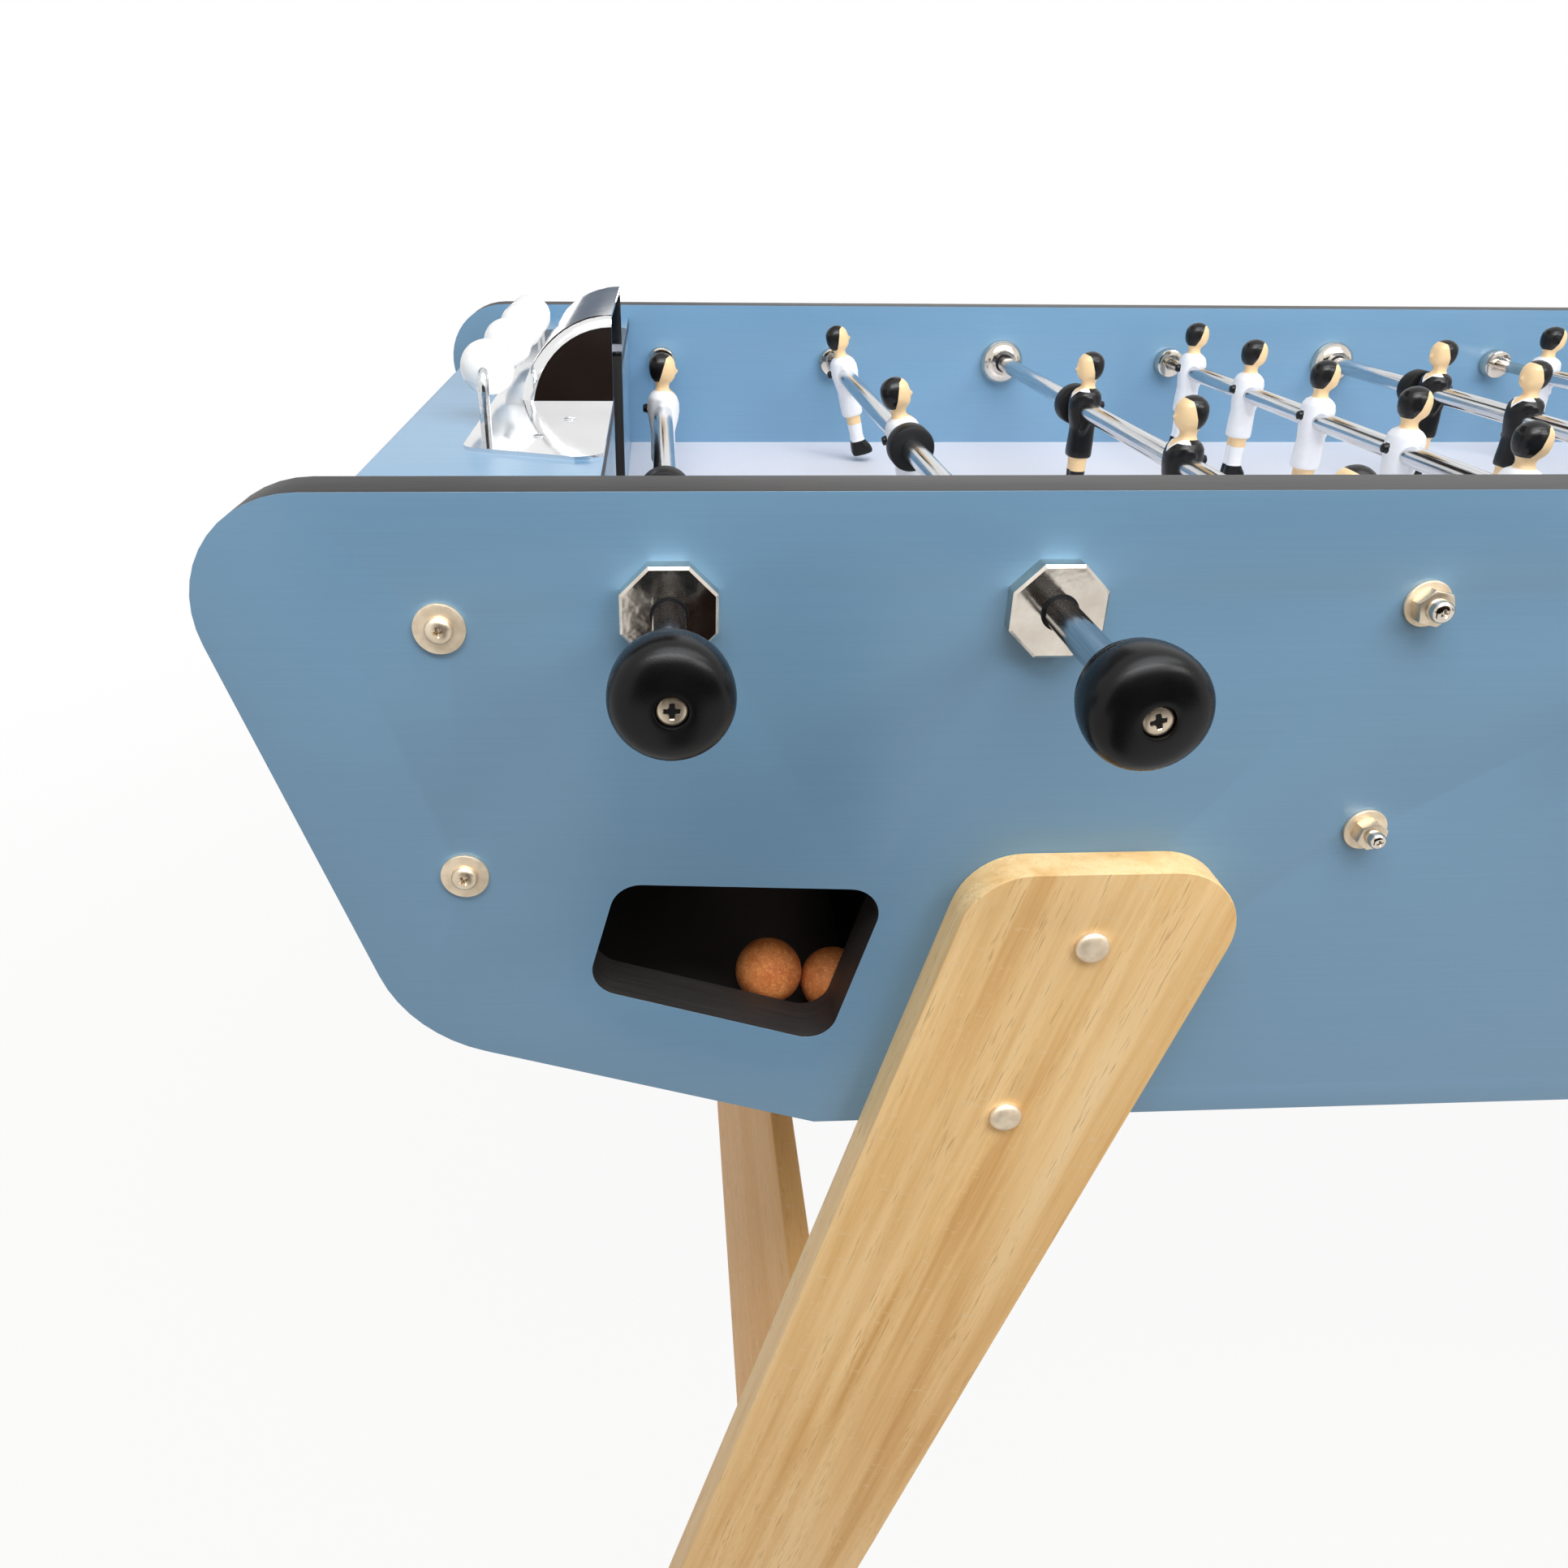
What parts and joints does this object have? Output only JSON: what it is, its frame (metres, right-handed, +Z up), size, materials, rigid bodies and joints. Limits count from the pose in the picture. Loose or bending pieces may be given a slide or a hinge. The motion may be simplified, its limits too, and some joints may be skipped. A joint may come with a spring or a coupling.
{
  "type": "foosball table",
  "caption": "Foosball table with blue side panels, leaning oak board legs, sliding and turning player bars, chromed goal hoods, bead score bars and side ball mouths.",
  "frame": {"origin": "on the floor, below the middle of the table", "axes": "+X along the table, +Y from the front side panel to the rear one, +Z up"},
  "size_m": [1.55, 0.9758, 0.9175],
  "materials": {
    "blue_panel": "fine-textured laminate, dark core at the edges",
    "field": "smooth pale laminate",
    "black_board": "matt",
    "polished": "polished",
    "steel": "bright zinc plate",
    "oak": "oak with a matt varnish",
    "pad_rubber": "matt",
    "black_plastic": "satin",
    "white_team": "satin paint",
    "black_team": "satin paint",
    "white_bead": "glossy",
    "cork": "pressed cork"
  },
  "bodies": {
    "root": {"side_panel_front": "blue_panel", "side_panel_rear": "blue_panel", "playfield": "field", "goal_walls": "blue_panel", "end_boards": "blue_panel", "end_decks": "blue_panel", "ball_trays": "black_board", "goal_hoods": "polished", "score_plates": "polished", "score_bars": "polished", "leg_front_left": "oak", "leg_front_right": "oak", "leg_rear_left": "oak", "leg_rear_right": "oak", "leg_stretchers": "oak", "leg_pads": "pad_rubber", "inner_rods": "steel", "bar_flanges": "polished", "tie_rods": "steel", "rod_nuts": "steel", "panel_screws": "steel"},
    "bar_1_bush": {"bar_1_bush": "black_plastic"},
    "bar_1": {"bar_1_tube": "polished", "bar_1_figures": "white_team", "bar_1_grip_and_stop": "black_plastic"},
    "bar_2_bush": {"bar_2_bush": "black_plastic"},
    "bar_2": {"bar_2_tube": "polished", "bar_2_figures": "white_team", "bar_2_grip_and_stop": "black_plastic"},
    "bar_3_bush": {"bar_3_bush": "black_plastic"},
    "bar_3": {"bar_3_tube": "polished", "bar_3_figures": "black_team", "bar_3_grip_and_stop": "black_plastic"},
    "bar_4_bush": {"bar_4_bush": "black_plastic"},
    "bar_4": {"bar_4_tube": "polished", "bar_4_figures": "white_team", "bar_4_grip_and_stop": "black_plastic"},
    "bar_5_bush": {"bar_5_bush": "black_plastic"},
    "bar_5": {"bar_5_tube": "polished", "bar_5_figures": "black_team", "bar_5_grip_and_stop": "black_plastic"},
    "bar_6_bush": {"bar_6_bush": "black_plastic"},
    "bar_6": {"bar_6_tube": "polished", "bar_6_figures": "white_team", "bar_6_grip_and_stop": "black_plastic"},
    "bar_7_bush": {"bar_7_bush": "black_plastic"},
    "bar_7": {"bar_7_tube": "polished", "bar_7_figures": "black_team", "bar_7_grip_and_stop": "black_plastic"},
    "bar_8_bush": {"bar_8_bush": "black_plastic"},
    "bar_8": {"bar_8_tube": "polished", "bar_8_figures": "black_team", "bar_8_grip_and_stop": "black_plastic"},
    "score_beads_left_1": {"score_beads_left_1": "white_bead"},
    "score_beads_left_2": {"score_beads_left_2": "white_bead"},
    "score_beads_left_3": {"score_beads_left_3": "white_bead"},
    "score_beads_right_1": {"score_beads_right_1": "white_bead"},
    "score_beads_right_2": {"score_beads_right_2": "white_bead"},
    "score_beads_right_3": {"score_beads_right_3": "white_bead"},
    "balls": {"balls": "cork"}
  },
  "joints": [
    {"name": "bar_1_turn", "type": "hinge", "parent": "root", "child": "bar_1_bush", "pos_m": [-0.5775, 0, 0.8305], "axis": [0, 1, 0], "continuous": true},
    {"name": "bar_1_slide", "type": "slide", "parent": "bar_1_bush", "child": "bar_1", "axis": [0, 1, 0], "range_m": [-0.1396, 0.0064]},
    {"name": "bar_2_turn", "type": "hinge", "parent": "root", "child": "bar_2_bush", "pos_m": [-0.4125, 0, 0.8305], "axis": [0, 1, 0], "continuous": true},
    {"name": "bar_2_slide", "type": "slide", "parent": "bar_2_bush", "child": "bar_2", "axis": [0, 1, 0], "range_m": [-0.26621, 0.05242]},
    {"name": "bar_3_turn", "type": "hinge", "parent": "root", "child": "bar_3_bush", "pos_m": [-0.2475, 0, 0.8305], "axis": [0, 1, 0], "continuous": true},
    {"name": "bar_3_slide", "type": "slide", "parent": "bar_3_bush", "child": "bar_3", "axis": [0, -1, 0], "range_m": [-0.20422, 0.01647]},
    {"name": "bar_4_turn", "type": "hinge", "parent": "root", "child": "bar_4_bush", "pos_m": [-0.0825, 0, 0.8305], "axis": [0, 1, 0], "continuous": true},
    {"name": "bar_4_slide", "type": "slide", "parent": "bar_4_bush", "child": "bar_4", "axis": [0, 1, 0], "range_m": [-0.10972, 0.02804]},
    {"name": "bar_5_turn", "type": "hinge", "parent": "root", "child": "bar_5_bush", "pos_m": [0.0825, 0, 0.8305], "axis": [0, 1, 0], "continuous": true},
    {"name": "bar_5_slide", "type": "slide", "parent": "bar_5_bush", "child": "bar_5", "axis": [0, -1, 0], "range_m": [-0.12574, 0.01202]},
    {"name": "bar_6_turn", "type": "hinge", "parent": "root", "child": "bar_6_bush", "pos_m": [0.2475, 0, 0.8305], "axis": [0, 1, 0], "continuous": true},
    {"name": "bar_6_slide", "type": "slide", "parent": "bar_6_bush", "child": "bar_6", "axis": [0, 1, 0], "range_m": [-0.17566, 0.04503]},
    {"name": "bar_7_turn", "type": "hinge", "parent": "root", "child": "bar_7_bush", "pos_m": [0.4125, 0, 0.8305], "axis": [0, 1, 0], "continuous": true},
    {"name": "bar_7_slide", "type": "slide", "parent": "bar_7_bush", "child": "bar_7", "axis": [0, -1, 0], "range_m": [-0.26621, 0.05242]},
    {"name": "bar_8_turn", "type": "hinge", "parent": "root", "child": "bar_8_bush", "pos_m": [0.5775, 0, 0.8305], "axis": [0, 1, 0], "continuous": true},
    {"name": "bar_8_slide", "type": "slide", "parent": "bar_8_bush", "child": "bar_8", "axis": [0, -1, 0], "range_m": [-0.13, 0.016]},
    {"name": "score_beads_left_1_slide", "type": "slide", "parent": "root", "child": "score_beads_left_1", "axis": [0, 1, 0], "range_m": [0, 0.0348]},
    {"name": "score_beads_left_2_slide", "type": "slide", "parent": "root", "child": "score_beads_left_2", "axis": [0, 1, 0], "range_m": [-0.0348, 0.0283]},
    {"name": "score_beads_left_3_slide", "type": "slide", "parent": "root", "child": "score_beads_left_3", "axis": [0, 1, 0], "range_m": [-0.0283, 0.054]},
    {"name": "score_beads_right_1_slide", "type": "slide", "parent": "root", "child": "score_beads_right_1", "axis": [0, -1, 0], "range_m": [0, 0.0348]},
    {"name": "score_beads_right_2_slide", "type": "slide", "parent": "root", "child": "score_beads_right_2", "axis": [0, -1, 0], "range_m": [-0.0348, 0.0283]},
    {"name": "score_beads_right_3_slide", "type": "slide", "parent": "root", "child": "score_beads_right_3", "axis": [0, -1, 0], "range_m": [-0.0283, 0.054]},
    {"name": "balls_roll", "type": "slide", "parent": "root", "child": "balls", "axis": [-0.9813, 0, 0.1925], "range_m": [0, 0.08]}
  ]
}
